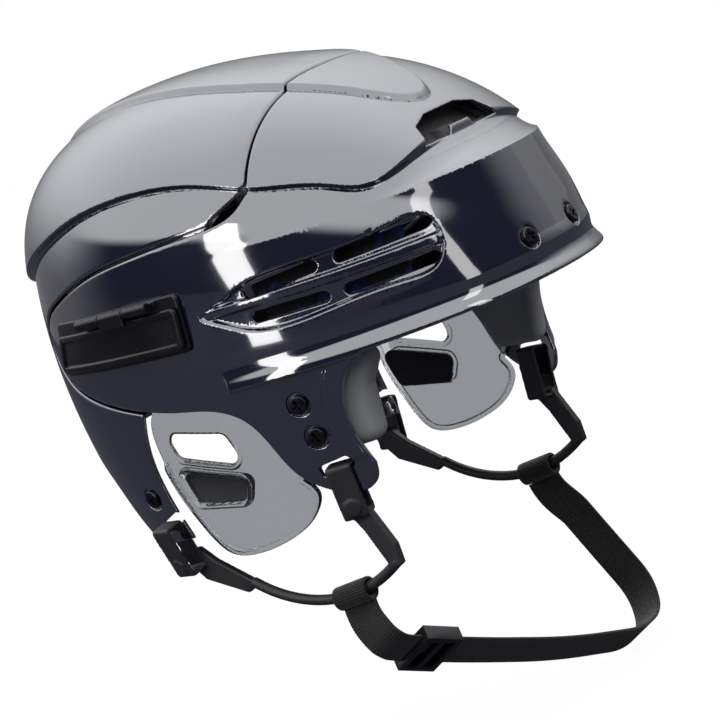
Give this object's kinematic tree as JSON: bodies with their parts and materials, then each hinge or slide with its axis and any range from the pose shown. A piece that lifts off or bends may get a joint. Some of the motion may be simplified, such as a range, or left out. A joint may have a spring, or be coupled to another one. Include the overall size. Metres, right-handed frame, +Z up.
{
  "type": "ice hockey helmet",
  "caption": "Ice hockey helmet with sliding front and rear shells, flip latches, vents, clear ear guards, foam liner, slings and a chin strap.",
  "frame": {"origin": "middle of the wearer's head, on the tilted rim plane of the dome", "axes": "-Y to the front, +X to the wearer's left, +Z up"},
  "size_m": [0.2312, 0.2789, 0.3435],
  "materials": {
    "shell": "high gloss moulded",
    "black_plastic": "satin moulded",
    "clear": "clear moulded plastic",
    "screw": "machined",
    "nut": "moulded",
    "pin": "ground",
    "liner": "soft foam",
    "vent_foam": "firm foam",
    "webbing": "woven"
  },
  "bodies": {
    "front": {"front_shell": "shell", "brow_screws": "screw", "brow_nuts": "nut", "brow_pad": "liner", "front_crown_pad": "vent_foam", "side_screws_left": "screw", "side_nuts_left": "nut", "ear_guard_left": "clear", "guard_insert_left": "black_plastic", "latch_base_left": "black_plastic", "latch_pin_left": "pin", "temple_pad_left": "liner", "vent_pad_left": "vent_foam", "sling_left": "black_plastic", "side_screws_right": "screw", "side_nuts_right": "nut", "ear_guard_right": "clear", "guard_insert_right": "black_plastic", "latch_base_right": "black_plastic", "latch_pin_right": "pin", "temple_pad_right": "liner", "vent_pad_right": "vent_foam", "sling_right": "black_plastic"},
    "rear": {"rear_shell": "shell", "nape_pad": "liner", "rear_crown_pad": "liner", "rear_screw_left": "screw", "rear_nut_left": "nut", "size_rack_left": "black_plastic", "side_pad_left": "liner", "rear_side_pad_left": "liner", "rear_screw_right": "screw", "rear_nut_right": "nut", "size_rack_right": "black_plastic", "side_pad_right": "liner", "rear_side_pad_right": "liner"},
    "latch_left": {"latch_lever_left": "black_plastic"},
    "latch_right": {"latch_lever_right": "black_plastic"},
    "strap": {"chin_strap": "webbing"},
    "slider": {"strap_slider": "black_plastic"}
  },
  "joints": [
    {"name": "size_slide", "type": "slide", "parent": "front", "child": "rear", "axis": [0, 1, 0], "range_m": [0, 0.01], "deforming": ["sling_left", "sling_right"]},
    {"name": "latch_left", "type": "hinge", "parent": "front", "child": "latch_left", "pos_m": [0.11013, 0.04662, 0.0065], "axis": [0.1169, -0.9931, 0], "range_deg": [0, 95]},
    {"name": "latch_right", "type": "hinge", "parent": "front", "child": "latch_right", "pos_m": [-0.11013, 0.04662, 0.0065], "axis": [0.1169, 0.9931, 0], "range_deg": [0, 95]},
    {"name": "strap_swing", "type": "hinge", "parent": "front", "child": "strap", "pos_m": [0, -0.008, -0.082], "axis": [1, 0, 0], "range_deg": [-12, 30]},
    {"name": "slider_slide", "type": "slide", "parent": "strap", "child": "slider", "axis": [0.8798, -0.2231, -0.4197], "range_m": [-0.004, 0.008]}
  ]
}
